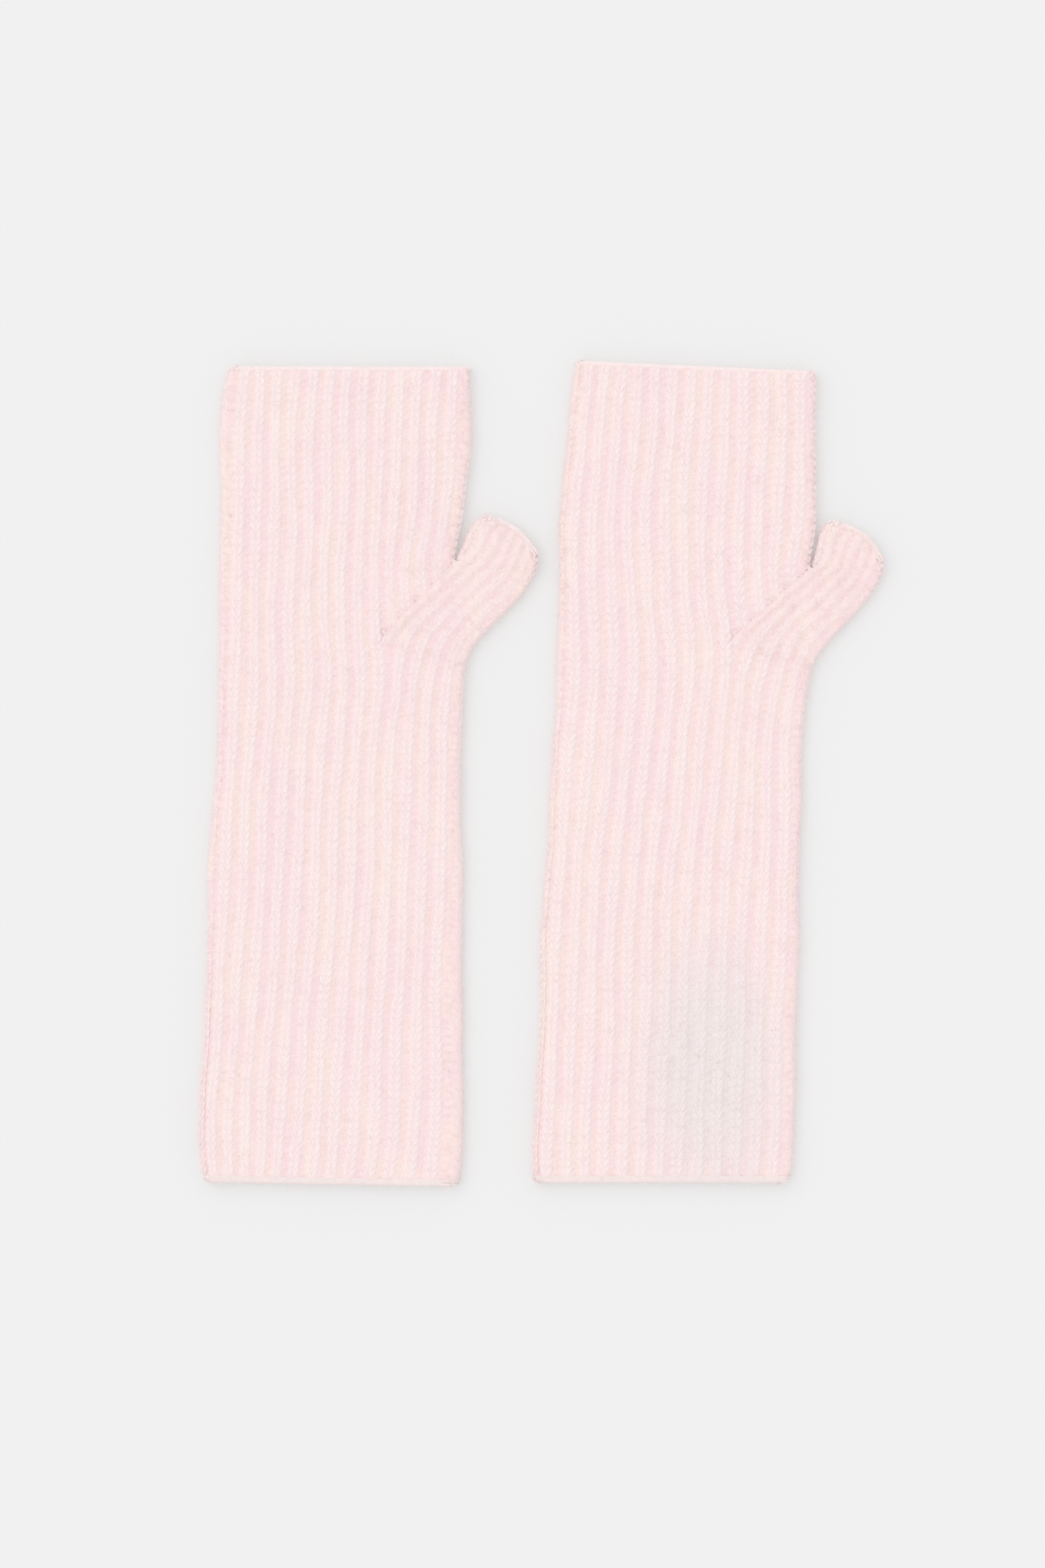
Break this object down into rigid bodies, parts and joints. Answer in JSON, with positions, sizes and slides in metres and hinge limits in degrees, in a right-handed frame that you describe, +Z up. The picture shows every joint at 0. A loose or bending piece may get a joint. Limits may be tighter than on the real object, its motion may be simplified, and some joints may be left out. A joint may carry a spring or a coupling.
{
  "type": "pair of fingerless mittens",
  "caption": "Pair of long rib-knit fingerless mitts in pale pink wool, laid flat side by side, each with a short open thumb on its right",
  "frame": {"origin": "centre of the pair's bounding box, on the surface that both mitts lie on", "axes": "+X across both mitts, from the left mitt towards the right one and towards the thumbs; +Y along the mitts, from the arm openings towards the finger openings; +Z up from the surface, through the cloth"},
  "size_m": [0.2514, 0.304, 0.0067],
  "materials": {
    "left_body_wool": "fuzzy rib knit, matt",
    "left_thumb_wool": "fuzzy rib knit, matt",
    "left_cast_on_edge_wool": "rolled knitted edge, matt",
    "left_hand_bind_off_wool": "knitted bound-off edge, matt",
    "left_thumb_bind_off_wool": "knitted bound-off edge, matt",
    "right_body_wool": "fuzzy rib knit, matt",
    "right_thumb_wool": "fuzzy rib knit, matt",
    "right_cast_on_edge_wool": "rolled knitted edge, matt",
    "right_hand_bind_off_wool": "knitted bound-off edge, matt",
    "right_thumb_bind_off_wool": "knitted bound-off edge, matt"
  },
  "bodies": {
    "root": {"left_body": "left_body_wool", "left_thumb": "left_thumb_wool", "left_cast_on_edge": "left_cast_on_edge_wool", "left_hand_bind_off": "left_hand_bind_off_wool", "left_thumb_bind_off": "left_thumb_bind_off_wool", "right_body": "right_body_wool", "right_thumb": "right_thumb_wool", "right_cast_on_edge": "right_cast_on_edge_wool", "right_hand_bind_off": "right_hand_bind_off_wool", "right_thumb_bind_off": "right_thumb_bind_off_wool"}
  },
  "joints": []
}
